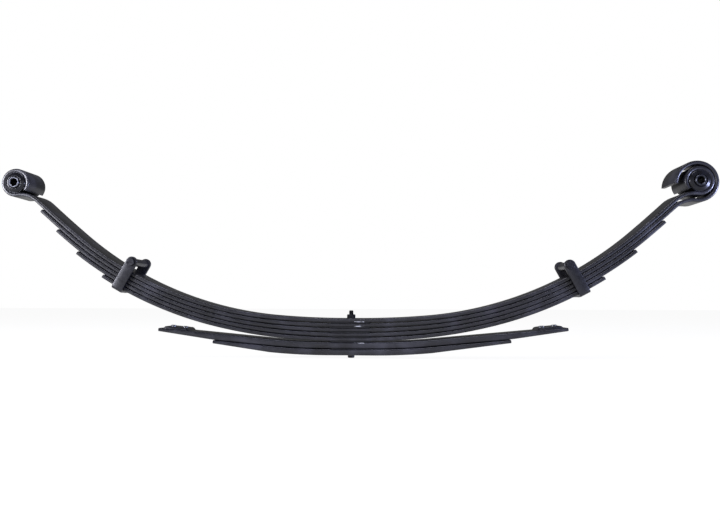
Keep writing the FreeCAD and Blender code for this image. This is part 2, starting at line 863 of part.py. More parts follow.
def overload_pad(side):
    """The plate that the arm bears on when the overload leaves come in."""
    body = new_body(f"overload_pad_{side}")
    profile = new_sketch(body, "Plate", "XZ_Plane")
    outline(profile, [
        ("-pad_long / 2", "0"),
        ("pad_long / 2", "0"),
        ("pad_long / 2", "pad_thick - pad_bevel"),
        ("pad_long / 2 - pad_bevel", "pad_thick"),
        ("-pad_long / 2 + pad_bevel", "pad_thick"),
        ("-pad_long / 2", "pad_thick - pad_bevel"),
    ])
    pad(body, profile, "pad_wide")
    for name, place in (("Inner", "-pad_rivet_pitch / 2"), ("Outer", "pad_rivet_pitch / 2")):
        hole = new_sketch(body, name, "XY_Plane")
        circle(hole, PAD_HOLE, place)
        cut_through(body, hole)
    body.Placement = pad_frame(side, value("pad_setback + pad_long / 2"))
    return body


def pad_rivets(side):
    """Two flat-headed rivets through a pad and the leaf under it."""
    members = []
    for name, shift in (("inner", "-pad_rivet_pitch / 2"), ("outer", "pad_rivet_pitch / 2")):
        body = doc.addObject("PartDesign::Body", f"pad_rivet_{side}_{name}")
        body.Label = f"pad_rivet_{side}_{name}"
        revolve(body, [
            ("0", "-overload_tip_thick"),
            ("pad_rivet_radius", "-overload_tip_thick"),
            ("pad_rivet_radius", "pad_thick"),
            ("pad_rivet_head_radius", "pad_thick"),
            ("pad_rivet_head_radius", "pad_thick + pad_rivet_head_tall - 0.8"),
            ("pad_rivet_head_radius - 0.8", "pad_thick + pad_rivet_head_tall"),
            ("0", "pad_thick + pad_rivet_head_tall"),
        ])
        along = FreeCAD.Placement(FreeCAD.Vector(value(shift), 0, 0), FreeCAD.Rotation())
        middle = pad_frame(side, value("pad_setback + pad_long / 2"))
        body.Placement = middle.multiply(along)
        members.append(body)
    group(f"overload_pad_rivets_{side}", members)


# ---------------------------------------------------------------- the whole spring

UPPER_HEIGHT = "(2 * overload_thick + overload_gap)"
UPPER_RUNS = {"left": "upper_run_left", "right": "upper_run_right"}
LOWER_RUNS = {"left": "lower_run_left", "right": "lower_run_right"}
BUTTONS = [
    (1, "left"),
    (2, "left"),
    (2, "right"),
    (3, "left"),
    (3, "right"),
    (4, "left"),
    (4, "right"),
]


def spring_leaves():
    """The five leaves of the main stage, drilled for buttons and clip rivets."""
    bodies = [leaf(f"{name}_leaf", level) for level, name in enumerate(LEAVES)]
    for level, side in BUTTONS:
        frame = button_frame(level, side)
        bore(bodies[level], f"Button_{side}", BUTTON_HOLE, "4 * leaf_thick", frame)
    for side in SIDES:
        bore(bodies[4], f"Rivet_{side}", RIVET_HOLE, "4 * leaf_thick", clip_frame(side))
    seat = upright(value(top_height(0)))
    bore(bodies[0], "NutRecess", NUT_RECESS, "2 * recess_deep", seat)


def overload_stage():
    upper = overload_leaf("overload_leaf_upper", "0", UPPER_HEIGHT, UPPER_RUNS, "upper_taper")
    above = "overload_thick + overload_gap"
    lower = overload_leaf("overload_leaf_lower", above, "overload_thick", LOWER_RUNS, None)
    bore(lower, "HeadRecess", HEAD_RECESS, "2 * recess_deep", upright(0))
    for side in SIDES:
        for number, sign in ((1, -1), (2, 1)):
            middle = "pad_setback + pad_long / 2"
            frame = pad_frame(side, value(f"{middle} + {sign} * pad_rivet_pitch / 2"))
            name = f"Pad_{side}_{number}"
            bore(upper, name, PAD_HOLE, "4 * overload_thick", frame)
        overload_pad(side)
        pad_rivets(side)


def check(items):
    """Stops if any object failed or any piece is empty or broken."""
    for item in doc.Objects:
        if "Invalid" in item.State or "Error" in item.State:
            raise RuntimeError(f"{item.Name} did not recompute: {item.State}")
    for item in items:
        if item.Shape.isNull() or not item.Shape.isValid() or item.Shape.Volume <= 0:
            raise RuntimeError(f"{item.Label} has no sound shape")


fill_sheet()
spring_leaves()
overload_stage()
group("centre_liners", [liner(level) for level in range(5)] + [flat_liner()])
centre_bolt()
centre_nut()
for spring_side in SIDES:
    bush(spring_side)
    clip_strap(spring_side)
    clip_bolt(spring_side)
    clip_nut(spring_side)
    clip_tube(spring_side)
    clip_rivet(spring_side)
for button_level, button_side in BUTTONS:
    tip_button(button_level, button_side)

doc.recompute()
check(nodes)
os.makedirs("parts", exist_ok=True)
for node in nodes:
    node.Shape.exportStep(f"parts/{node.Label}.step")
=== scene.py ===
import math

import bpy
import bmesh
from mathutils import Matrix, Vector


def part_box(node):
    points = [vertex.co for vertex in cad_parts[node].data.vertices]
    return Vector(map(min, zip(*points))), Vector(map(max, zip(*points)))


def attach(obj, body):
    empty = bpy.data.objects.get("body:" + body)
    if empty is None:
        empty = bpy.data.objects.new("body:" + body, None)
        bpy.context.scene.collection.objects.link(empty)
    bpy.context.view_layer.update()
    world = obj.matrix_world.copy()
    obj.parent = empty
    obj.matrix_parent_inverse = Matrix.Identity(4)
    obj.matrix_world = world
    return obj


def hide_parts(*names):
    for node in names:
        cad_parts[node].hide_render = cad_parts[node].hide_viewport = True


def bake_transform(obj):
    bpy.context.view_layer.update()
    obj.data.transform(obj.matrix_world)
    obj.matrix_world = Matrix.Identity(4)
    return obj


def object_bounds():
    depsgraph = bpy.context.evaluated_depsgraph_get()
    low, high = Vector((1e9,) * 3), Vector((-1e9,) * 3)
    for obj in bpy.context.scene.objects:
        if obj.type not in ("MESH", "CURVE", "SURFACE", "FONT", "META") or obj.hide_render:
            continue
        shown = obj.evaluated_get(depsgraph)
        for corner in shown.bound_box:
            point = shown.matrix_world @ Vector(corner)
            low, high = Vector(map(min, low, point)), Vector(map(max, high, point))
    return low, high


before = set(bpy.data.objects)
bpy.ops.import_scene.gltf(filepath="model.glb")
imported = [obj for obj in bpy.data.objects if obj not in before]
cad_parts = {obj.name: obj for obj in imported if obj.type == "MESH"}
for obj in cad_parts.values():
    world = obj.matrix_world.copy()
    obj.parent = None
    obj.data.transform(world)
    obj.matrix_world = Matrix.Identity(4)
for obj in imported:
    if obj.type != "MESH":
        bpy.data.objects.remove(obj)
cad_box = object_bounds()

MM = 0.001
SIDES = {"left": -1, "right": 1}
LEAVES = ["main", "second", "third", "fourth", "fifth"]

# ---------------------------------------------------------------- leaf sizes, in millimetres and degrees

LEAF_WIDTH = 60.0
LEAF_THICK = 6.6
EDGE_ROUND = 2.1
SEAT_HALF = 12.5
PACK_TOP = 64.0
CLAMP_GAP = 1.6
ARM_GAP = 0.7

# from its flat seat a leaf runs through a crown, a merge and a body arc, and then an almost straight end arc
CROWN_RADIUS = 1465.0
CROWN_ANGLE = 4.8
MERGE_ANGLE = 14.0
BODY_RADIUS = 651.0
BODY_ANGLE = {"left": 39.7, "right": 40.4}
FOURTH_ANGLE = {"left": 37.3, "right": 37.6}
FIFTH_ANGLE = {"left": 32.0, "right": 31.6}
END_RADIUS = 2356.0
MAIN_RUN = {"left": 90.0, "right": 76.0}
SECOND_RUN_LEFT = 72.0
THIRD_RUN = {"left": 26.0, "right": 37.0}
TIP_RELIEF = 0.45
TIP_RELIEF_RUN = 60.0

EYE_BORE = 19.0
EYE_LIFT = LEAF_THICK / 2 + 2.4
EYE_BEND = 50.0
EYE_ROLL = 315.0

# the second leaf's right end, wrapped loosely round the main leaf's eye
WRAP_BEND = 50.0
WRAP_BORE = 29.5
WRAP_ROLL = 192.0
WRAP_TAIL_RADIUS = 34.0
WRAP_TAIL_ANGLE = 82.0
WRAP_RISE = 1.3
WRAP_SETBACK = 2.9

OVERLOAD_THICK = 11.0
OVERLOAD_TIP = 5.5
OVERLOAD_GAP = 1.0
OVERLOAD_SEAT = 40.0
OVERLOAD_RADIUS = 1080.0
OVERLOAD_ANGLE = 5.3
OVERLOAD_EDGE_ROUND = EDGE_ROUND + 0.6
UPPER_RUN = {"left": 200.4, "right": 236.4}
UPPER_TAPER = 95.0
LOWER_RUN = {"left": 101.4, "right": 137.4}

# where each arm bends: along the main leaf, how deep in the pack, and how far to either side
ARM_PIVOT = 228.0
ARM_PIVOT_DEPTH = 17.9
END_PIVOT = 512.0
END_PIVOT_DEPTH = 6.4
END_BEND_REACH = 100.0
OVERLOAD_BEND = (95.0, 285.0)
OVERLOAD_BEND_HEIGHT = 24.5

# cross-sections along a leaf stand this far apart, and closer round an eye
OPEN_STEP = 7.0
TIGHT_STEP = 1.8
TIGHT_SHARE = 0.09
TIGHT_BELOW = 200.0

# ---------------------------------------------------------------- fastener, clip and pad sizes

ON_AXIS = 0.01
BOLT_RADIUS = 4.0
THREAD_PITCH = 1.25
THREAD_DEPTH = 0.5
HEX_FLATS = 13.0
HEX_FACE = 0.96
HEX_CHAMFER = 30.0
CENTRE_HEAD_TALL = 6.0
CENTRE_STUD_TALL = 14.0
CENTRE_NUT = (-0.3, 6.9)

CLIP_STATION = {"left": 410.0, "right": 398.0}
PACK_DEPTH = 4 * (LEAF_THICK + ARM_GAP) + LEAF_THICK
CLIP_BOLT_HEIGHT = PACK_DEPTH + 16.0
CLIP_HEAD_TALL = 5.3
CLIP_NUT_TALL = 6.5
STRAP_HALF = 10.0
STRAP_THICK = 5.0
STRAP_INNER = 31.5
STRAP_BEND = 1.0
STRAP_EDGE_ROUND = 1.1
TUBE_SHORT = 0.2

BUTTON_SETBACK = {"fifth": 18.0, "fourth": 28.0, "third": 28.0, "second": 28.0}

PAD_SETBACK = 29.0
PAD_HALF_LONG = 23.0
PAD_HALF_WIDE = 26.0
PAD_CORNER = 4.0
# how far a pad's two ends lean in for each millimetre up, which leaves its top flat under both rivets
PAD_END_SLOPE = 0.85
PAD_RIVET_SHIFT = 11.0

# ---------------------------------------------------------------- finishes


def linear(hex_colour):
    """The linear colour of an sRGB hex value."""
    parts = [int(hex_colour[k:k + 2], 16) / 255 for k in (1, 3, 5)]
    made = [p / 12.92 if p <= 0.04045 else ((p + 0.055) / 1.055) ** 2.4 for p in parts]
    return (*made, 1.0)


def per_metre(size_mm):
    """A pattern's scale, from how many millimetres across its blotches are."""
    return 1 / (size_mm * MM)


def add_node(tree, kind, settings=None, inputs=None, links=None, stops=None):
    """Adds a node, sets its properties, sockets and colour stops, and links other outputs to it."""
    node = tree.nodes.new(kind)
    for name, setting in (settings or {}).items():
        setattr(node, name, setting)
    for name, number in (inputs or {}).items():
        node.inputs[name].default_value = number
    for name, source in (links or {}).items():
        tree.links.new(source, node.inputs[name])
    if stops:
        elements = node.color_ramp.elements
        while len(elements) < len(stops):
            elements.new(0.5)
        for element, (position, colour) in zip(elements, stops):
            element.position = position
            element.color = linear(colour)
    return node


def blank_material(name):
    """A material with only its output, and the object's own coordinates in metres."""
    material = bpy.data.materials.new(name)
    material.use_nodes = True
    tree = material.node_tree
    tree.nodes.clear()
    output = add_node(tree, "ShaderNodeOutputMaterial")
    place = add_node(tree, "ShaderNodeTexCoord").outputs["Object"]
    return material, tree, output, place


# brushed dabs on the leaves' front edges, beside the centre bolt
DAB_MIDDLE = 16.0
DAB_HALF_LONG = 8.5
DAB_HALF_DEEP = 1.2
DAB_HEIGHTS = (58.4, 50.6, 21.8)
DAB_HALF_TALL = 0.9
DAB_BRISTLE = 2.2


def brushed_dabs(tree, place):
    """Where chalky inspection paint was dabbed on, broken up as a dry brush leaves it."""
    parts = add_node(tree, "ShaderNodeSeparateXYZ", links={"Vector": place})
    bands = [("Z", height, DAB_HALF_TALL) for height in DAB_HEIGHTS]
    bands += [("X", DAB_MIDDLE, DAB_HALF_LONG), ("Y", -LEAF_WIDTH / 2, DAB_HALF_DEEP)]
    inside = []
    for axis, middle, reach in bands:
        band = add_node(
            tree,
            "ShaderNodeMath",
            settings={"operation": "COMPARE"},
            inputs={1: middle * MM, 2: reach * MM},
            links={0: parts.outputs[axis]},
        )
        inside.append(band.outputs["Value"])
    drawn_out = add_node(
        tree, "ShaderNodeMapping", inputs={"Scale": (0.35, 1, 1)}, links={"Vector": place}
    )
    bristles = add_node(
        tree,
        "ShaderNodeTexNoise",
        inputs={"Scale": per_metre(DAB_BRISTLE), "Detail": 4.0},
        links={"Vector": drawn_out.outputs["Vector"]},
    )
    streaks = add_node(
        tree,
        "ShaderNodeValToRGB",
        links={"Fac": bristles.outputs["Fac"]},
        stops=[(0.40, "#000000"), (0.56, "#FFFFFF")],
    )
    lowest, *higher = inside[:len(DAB_HEIGHTS)]
    steps = [("MAXIMUM", level) for level in higher]
    steps += [("MULTIPLY", band) for band in inside[len(DAB_HEIGHTS):] + [streaks.outputs["Color"]]]
    covered = lowest
    for operation, other in steps:
        joined = add_node(
            tree, "ShaderNodeMath", settings={"operation": operation}, links={0: covered, 1: other}
        )
        covered = joined.outputs["Value"]
    return covered


def painted_spring_steel(name, dark, mid, pale, rough_low, rough_high, dabs=False):
    """Hot-rolled bar under dipped black paint: a dim gloss broken by scale, runs and dry dust.

    Real dust and scale are finer than these 1.6 and 2.4 mm, and are drawn coarser so that they show.
    """
    material, tree, output, place = blank_material(name)
    runs, dust, dulling, scale = [
        add_node(
            tree,
            "ShaderNodeTexNoise",
            inputs={"Scale": per_metre(size_mm), "Detail": detail},
            links={"Vector": place},
        ).outputs["Fac"]
        for size_mm, detail in ((38.0, 4.0), (1.6, 5.0), (7.0, 4.0), (2.4, 6.0))
    ]
    paint = add_node(
        tree,
        "ShaderNodeValToRGB",
        links={"Fac": runs},
        stops=[(0.36, dark), (0.52, mid), (0.70, pale)],
    )
    dusty = add_node(
        tree,
        "ShaderNodeValToRGB",
        links={"Fac": dust},
        stops=[(0.56, "#000000"), (0.74, "#FFFFFF")],
    )
    layers = [(dusty.outputs["Color"], pale)]
    if dabs:
        layers.append((brushed_dabs(tree, place), "#C9CACD"))
    colour = paint.outputs["Color"]
    for cover, layer_colour in layers:
        layered = add_node(
            tree,
            "ShaderNodeMix",
            settings={"data_type": "RGBA"},
            inputs={"B": linear(layer_colour)},
            links={"A": colour, "Factor": cover},
        )
        colour = layered.outputs["Result"]
    gloss = add_node(
        tree,
        "ShaderNodeMapRange",
        inputs={"From Min": 0.3, "From Max": 0.7, "To Min": rough_low, "To Max": rough_high},
        links={"Value": dulling},
    )
    pits = add_node(
        tree,
        "ShaderNodeBump",
        inputs={"Strength": 0.14, "Distance": 0.0002},
        links={"Height": scale},
    )
    shader = add_node(
        tree,
        "ShaderNodeBsdfPrincipled",
        inputs={"Coat Weight": 0.5, "Coat Roughness": 0.22, "IOR": 1.5},
        links={
            "Base Color": colour,
            "Roughness": gloss.outputs["Result"],
            "Normal": pits.outputs["Normal"],
        },
    )
    tree.links.new(shader.outputs["BSDF"], output.inputs["Surface"])
    return material


def grained(name, colours, cloud_mm, cloud_detail, grain_mm, grain_detail, bump, surface):
    """A softly clouded surface with a fine grain, drawn coarser than the real one so that it shows."""
    material, tree, output, place = blank_material(name)
    cloud, grain = [
        add_node(
            tree,
            "ShaderNodeTexNoise",
            inputs={"Scale": per_metre(size_mm), "Detail": detail},
            links={"Vector": place},
        ).outputs["Fac"]
        for size_mm, detail in ((cloud_mm, cloud_detail), (grain_mm, grain_detail))
    ]
    clouded = add_node(tree, "ShaderNodeValToRGB", links={"Fac": cloud}, stops=colours)
    raised = add_node(tree, "ShaderNodeBump", inputs=bump, links={"Height": grain})
    shader = add_node(
        tree,
        "ShaderNodeBsdfPrincipled",
        inputs=surface,
        links={"Base Color": clouded.outputs["Color"], "Normal": raised.outputs["Normal"]},
    )
    tree.links.new(shader.outputs["BSDF"], output.inputs["Surface"])
    return material


def barrelled_steel(name, low, high, rough):
    """Steel small parts tumbled in a barrel, then plated or oiled: clouded metal with fine marks."""
    bump = {"Strength": 0.1, "Distance": 0.00005}
    surface = {"Metallic": 1.0, "Roughness": rough}
    return grained(name, [(0.3, low), (0.75, high)], 4.0, 4.0, 0.7, 3.0, bump, surface)


def moulded(name, low, high, rough, grain_mm):
    """Moulded rubber or plastic: an even dark body with the mould's fine grain."""
    bump = {"Strength": 0.12, "Distance": 0.0001}
    surface = {"Roughness": rough, "IOR": 1.52}
    return grained(name, [(0.35, low), (0.7, high)], 9.0, 3.0, grain_mm, 2.0, bump, surface)


# black dip paint with dust on the leaves, and a cleaner, slightly glossier coat of it on the straps
LEAF_PAINT = painted_spring_steel("dipped_spring_steel", "#101014", "#1D1D23", "#383840", 0.30, 0.46, True)
STRAP_PAINT = painted_spring_steel("painted_flat_bar", "#101015", "#191920", "#2C2C36", 0.28, 0.42)
# zinc is bright, phosphate is a dark matt grey, and drawn tube keeps a grey mill shine
BRIGHT_BOLT = barrelled_steel("zinc_plated_bolt", "#8F9299", "#C9CBD0", 0.34)
DARK_BOLT = barrelled_steel("phosphated_bolt", "#2A2A2D", "#4A4A4E", 0.45)
SLEEVE_STEEL = barrelled_steel("drawn_steel_sleeve", "#3A3B40", "#6A6C73", 0.33)
# rubber from a polished mould has a soft shine, and glass-filled nylon is a dull black
BUSH_RUBBER = moulded("moulded_bush_rubber", "#0D0D12", "#17181F", 0.24, 0.8)
LINER_PLATE = moulded("glass_filled_nylon_plate", "#0B0B0C", "#141415", 0.55, 0.5)

# ---------------------------------------------------------------- mesh tools


def finish_mesh(name, mesh_data, material, sharp=32.0):
    """Turns a bmesh into an object: smooth faces with sharp edges where they meet at an angle."""
    bmesh.ops.recalc_face_normals(mesh_data, faces=mesh_data.faces)
    limit = math.radians(sharp)
    for face in mesh_data.faces:
        face.smooth = True
    for edge in mesh_data.edges:
        edge.smooth = not (len(edge.link_faces) == 2 and edge.calc_face_angle(0.0) > limit)
    mesh = bpy.data.meshes.new(name)
    mesh_data.to_mesh(mesh)
    mesh_data.free()
    mesh.materials.append(material)
    piece = bpy.data.objects.new(name, mesh)
    bpy.context.scene.collection.objects.link(piece)
    return piece


def skin(mesh_data, rings, caps=(True, True)):
    """Quads between closed rings of points, and faces over the first and last ring."""
    rows = [[mesh_data.verts.new(point) for point in ring] for ring in rings]
    count = len(rows[0])
    for lower, upper in zip(rows, rows[1:]):
        for k in range(count):
            after = (k + 1) % count
            mesh_data.faces.new((lower[k], lower[after], upper[after], upper[k]))
    if caps[0]:
        mesh_data.faces.new(rows[0][::-1])
    if caps[1]:
        mesh_data.faces.new(rows[-1])


def rounded_section(half, thick, radius):
    """A bar's cross-section as pairs across and down, its four corners rounded."""
    radius = min(radius, half * 0.98, thick * 0.49)
    corners = [
        (half - radius, radius, -90),
        (half - radius, thick - radius, 0),
        (-half + radius, thick - radius, 90),
        (-half + radius, radius, 180),
    ]
    section = []
    for across, down, start in corners:
        for k in range(4):
            turn = math.radians(start + 30 * k)
            section.append((across + radius * math.cos(turn), down + radius * math.sin(turn)))
    return section


def bar(mesh_data, stations, caps):
    """A leaf through stations of (x, z, angle, top offset, thickness, edge radius)."""
    rings = []
    for x, z, angle, offset, thick, radius in stations:
        down = Vector((math.sin(angle), 0, -math.cos(angle)))
        top = Vector((x, 0, z)) + down * offset
        ring = [
            (top + down * depth + Vector((0, across, 0))) * MM
            for across, depth in rounded_section(LEAF_WIDTH / 2, thick, radius)
        ]
        rings.append(ring)
    skin(mesh_data, rings, caps)


def turned(name, profile, material, place, steps=48, bored=False):
    """A turned piece about its own Z axis, from pairs of radius and height in millimetres.

    A solid one's profile runs from axis to axis, and a bored one's goes round its wall and closes.
    """
    mesh_data = bmesh.new()
    angles = [2 * math.pi * k / steps for k in range(steps)]
    rings = []
    for radius, height in profile + profile[:1] if bored else profile:
        around = [Vector((radius * math.cos(a), radius * math.sin(a), height)) for a in angles]
        rings.append([place @ (point * MM) for point in around])
    skin(mesh_data, rings, (not bored, not bored))
    if bored:
        bmesh.ops.remove_doubles(mesh_data, verts=mesh_data.verts, dist=1e-6)
    return finish_mesh(name, mesh_data, material)


def both_ends(outline):
    """An outline towards one end, then the same one mirrored towards the other."""
    return outline + [(radius, -height) for radius, height in outline[::-1]]


def hexagon_block(name, low, high, place, round_both=False):
    """A hexagon with its corners turned away at 30 degrees, as on bolt heads and nuts."""
    mesh_data = bmesh.new()
    inner = HEX_FLATS / 2
    face = inner * HEX_FACE
    count = 72
    angles = [2 * math.pi * k / count for k in range(count)]

    def rim(angle):
        return inner / math.cos((angle % (math.pi / 3)) - math.pi / 6)

    def fall(angle):
        return (rim(angle) - face) * math.tan(math.radians(HEX_CHAMFER))

    def ring(height_of, radius_of):
        points = [
            Vector((radius_of(a) * math.cos(a), radius_of(a) * math.sin(a), height_of(a)))
            for a in angles
        ]
        return [place @ (point * MM) for point in points]

    if round_both:
        rings = [ring(lambda a: low, lambda a: face), ring(lambda a: low + fall(a), rim)]
    else:
        rings = [ring(lambda a: low, rim)]
    rings.append(ring(lambda a: high - fall(a), rim))
    rings.append(ring(lambda a: high, lambda a: face))
    skin(mesh_data, rings)
    return finish_mesh(name, mesh_data, DARK_BOLT, 24.0)


def threads(low, high):
    """The zigzag outline of a bolt's screw thread between two heights."""
    profile = []
    height = low
    while height + THREAD_PITCH <= high:
        profile.append((BOLT_RADIUS - THREAD_DEPTH, height))
        profile.append((BOLT_RADIUS, height + THREAD_PITCH / 2))
        height += THREAD_PITCH
    profile.append((BOLT_RADIUS - THREAD_DEPTH, height))
    return profile


# ---------------------------------------------------------------- leaf paths

# A path is a list of arcs: radius, turn in radians, and 1 to bend up or -1 to bend down.
# A straight run has no radius, and its length stands in place of the turn.


def arc(radius, angle, bend=1):
    return (radius, math.radians(angle), bend)


def inner_arcs(level, side, body_angle=BODY_ANGLE):
    """Crown, merge and body arcs of a leaf, which lies wider at the clamp than along the arms."""
    crown_sin = math.sin(math.radians(CROWN_ANGLE))
    merge_sin = math.sin(math.radians(MERGE_ANGLE))
    spread = merge_sin - crown_sin - math.sin(math.radians(MERGE_ANGLE - CROWN_ANGLE))
    drop = level * (LEAF_THICK + ARM_GAP)
    squeeze = level * (CLAMP_GAP - ARM_GAP)
    return [
        arc(CROWN_RADIUS + drop + squeeze * (merge_sin - crown_sin) / spread, CROWN_ANGLE),
        arc(BODY_RADIUS + drop - squeeze * crown_sin / spread, MERGE_ANGLE - CROWN_ANGLE),
        arc(BODY_RADIUS + drop, body_angle[side] - MERGE_ANGLE),
    ]


def end_arc(level, length):
    return arc(END_RADIUS + level * (LEAF_THICK + ARM_GAP), math.degrees(length / END_RADIUS))


def eye_turn():
    """How far the main leaf bends down before it rolls up into its eye."""
    return math.acos((EYE_BEND - EYE_LIFT) / (EYE_BEND + EYE_BORE))


def wrap_turn():
    """How far the second leaf bends down before it wraps round the eye."""
    depth = WRAP_RISE - EYE_LIFT + LEAF_THICK + ARM_GAP + WRAP_BEND
    return math.acos(depth / (WRAP_BEND + WRAP_BORE))


def main_path(side):
    rolled = [arc(EYE_BEND, math.degrees(eye_turn()), -1), arc(EYE_BORE, EYE_ROLL)]
    return inner_arcs(0, side) + [end_arc(0, MAIN_RUN[side])] + rolled


def wrap_path():
    eye_reach = (EYE_BEND + EYE_BORE) * math.sin(eye_turn())
    wrap_reach = (WRAP_BEND + WRAP_BORE) * math.sin(wrap_turn())
    lead = wrap_reach - eye_reach + WRAP_SETBACK
    return inner_arcs(1, "right") + [
        end_arc(1, MAIN_RUN["right"] - lead),
        arc(WRAP_BEND, math.degrees(wrap_turn()), -1),
        arc(WRAP_BORE, WRAP_ROLL),
        arc(WRAP_TAIL_RADIUS, WRAP_TAIL_ANGLE),
    ]


PATHS = {
    "main": {side: main_path(side) for side in SIDES},
    "second": {"left": inner_arcs(1, "left") + [end_arc(1, SECOND_RUN_LEFT)], "right": wrap_path()},
    "third": {side: inner_arcs(2, side) + [end_arc(2, THIRD_RUN[side])] for side in SIDES},
    "fourth": {side: inner_arcs(3, side, FOURTH_ANGLE) for side in SIDES},
    "fifth": {side: inner_arcs(4, side, FIFTH_ANGLE) for side in SIDES},
}


def overload_path(above, run):
    return [arc(OVERLOAD_RADIUS + above, OVERLOAD_ANGLE), (0, run, 1)]


def part_length(radius, turn):
    return radius * turn if radius else turn


def length_of(path, seat=SEAT_HALF):
    return seat + sum(part_length(radius, turn) for radius, turn, _ in path)


def walk(path, height, distance, seat=SEAT_HALF):
    """Where a leaf's top face is, this far along it from the clamp's middle: x, z and angle."""
    if distance <= seat:
        return distance, height, 0.0
    x, z, angle = seat, height, 0.0
    remaining = distance - seat
    for radius, turn, bend in path:
        length = part_length(radius, turn)
        share = min(1.0, remaining / length)
        if radius:
            after = angle + turn * bend * share
            x += radius * bend * (math.sin(after) - math.sin(angle))
            z += radius * bend * (math.cos(angle) - math.cos(after))
            angle = after
        else:
            x += turn * share * math.cos(angle)
            z += turn * share * math.sin(angle)
        remaining -= length
        if remaining <= 0:
            break
    return x, z, angle


def station_marks(path, begin, finish, seat=SEAT_HALF):
    """Distances at which a leaf needs a cross-section: closer together where it bends more."""
    found = [begin]
    edge = seat
    for radius, turn, _ in path:
        length = part_length(radius, turn)
        tight = 0 < radius <= TIGHT_BELOW
        step = max(TIGHT_STEP, radius * TIGHT_SHARE) if tight else OPEN_STEP
        count = max(1, math.ceil(length / step))
        found += [edge + length * k / count for k in range(count + 1)]
        edge += length
    found.append(finish)
    inside = sorted(d for d in found if begin <= d <= finish)
    return [d for k, d in enumerate(inside) if k == 0 or d - inside[k - 1] > 0.05]


def under_main(side, distance, depth):
    """A place this deep in the pack, square under the main leaf's top face: x, z and angle."""
    x, z, angle = walk(PATHS["main"][side], PACK_TOP, distance)
    return x + depth * math.sin(angle), z - depth * math.cos(angle), angle


def leaf_frame(x, z, angle, side):
    """Stands a piece on a leaf: X along the leaf, Y across, Z square to it."""
    sign = SIDES[side]
    return Matrix.Translation(Vector((sign * x, 0, z)) * MM) @ Matrix.Rotation(-angle * sign, 4, "Y")


# ---------------------------------------------------------------- bending zones

# Each arm would bend twice, between the clamp and its clip and between the clip and its
# eye, and each overload tip once. A zone's two ends are found in the pack, but its pieces are only baked in
# place and are not made to bend.


def in_pack(side, distance, depth):
    x, z, _ = under_main(side, distance, depth)
    return Vector((SIDES[side] * x, 0, z)) * MM


def bend_zone(piece, side, zone):
    if zone == "arm":
        reach = CLIP_STATION[side] - ARM_PIVOT
        start = in_pack(side, ARM_PIVOT - reach, ARM_PIVOT_DEPTH)
        end = in_pack(side, ARM_PIVOT + reach, ARM_PIVOT_DEPTH)
        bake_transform(piece)
    elif zone == "end":
        start = in_pack(side, END_PIVOT - END_BEND_REACH, END_PIVOT_DEPTH)
        end = in_pack(side, END_PIVOT + END_BEND_REACH, END_PIVOT_DEPTH)
        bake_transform(piece)
    else:
        start, end = [
            Vector((SIDES[side] * x, 0, OVERLOAD_BEND_HEIGHT)) * MM for x in OVERLOAD_BEND
        ]
        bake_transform(piece)


# ---------------------------------------------------------------- leaves


def smooth_step(share):
    share = max(0.0, min(1.0, share))
    return share * share * (3 - 2 * share)


def clip_distance(level, side):
    """How far along a leaf its clip's middle is: the place where it slopes as the main leaf does."""
    path = PATHS[LEAVES[level]][side]
    angle = walk(PATHS["main"][side], PACK_TOP, CLIP_STATION[side])[2]
    body_begin = sum(radius * turn for radius, turn, _ in path[:2])
    return SEAT_HALF + body_begin + path[2][0] * (angle - math.radians(MERGE_ANGLE))


def leaf_top(level):
    """The height of a leaf's top face at the clamp."""
    return PACK_TOP - level * (LEAF_THICK + CLAMP_GAP)


def leaf_stations(level, side, begin, finish):
    """Cross-sections of one leaf between two distances along it, its plain tip thinned on top."""
    name = LEAVES[level]
    path = PATHS[name][side]
    whole = length_of(path)
    rolled = name == "main" or (name == "second" and side == "right")
    made = []
    for distance in station_marks(path, begin, finish):
        near_tip = smooth_step((distance - whole + TIP_RELIEF_RUN) / TIP_RELIEF_RUN)
        relief = 0.0 if rolled else TIP_RELIEF * near_tip
        place = walk(path, leaf_top(level), distance)
        made.append((*place, relief, LEAF_THICK - relief, EDGE_ROUND))
    return made


def leaf_piece(name, node, side, zone, stations, caps):
    """One piece of a leaf, made to the right of the clamp and mirrored for the left."""
    mesh_data = bmesh.new()
    bar(mesh_data, stations, caps)
    if side == "left":
        bmesh.ops.scale(mesh_data, vec=(-1, 1, 1), verts=mesh_data.verts)
    piece = finish_mesh(name, mesh_data, LEAF_PAINT)
    bend_zone(piece, side, zone)
    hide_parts(node)


def spring_leaves():
    """Each leaf in four pieces, which meet end to end at the clamp's middle and at the clips."""
    for level, leaf in enumerate(LEAVES):
        for side in SIDES:
            split = clip_distance(level, side)
            whole = length_of(PATHS[leaf][side])
            for zone, begin, finish in (("arm", 0.0, split), ("end", split, whole)):
                stations = leaf_stations(level, side, begin, finish)
                caps = (False, zone == "end")
                leaf_piece(f"{leaf}_leaf_{zone}_{side}", f"{leaf}_leaf", side, zone, stations, caps)


def overload_stations(above, height, run, taper):
    """An overload leaf from the middle to its tip: seat, arc, straight run and thinned end."""
    path = overload_path(above, run)
    whole = length_of(path, OVERLOAD_SEAT)
    made = []
    for distance in station_marks(path, 0.0, whole, OVERLOAD_SEAT):
        share = max(0.0, (distance - whole + taper) / taper)
        thick = OVERLOAD_THICK - (OVERLOAD_THICK - OVERLOAD_TIP) * share
        place = walk(path, height, distance, OVERLOAD_SEAT)
        made.append((*place, 0.0, thick, OVERLOAD_EDGE_ROUND))
    return made


UPPER_TOP = 2 * OVERLOAD_THICK + OVERLOAD_GAP


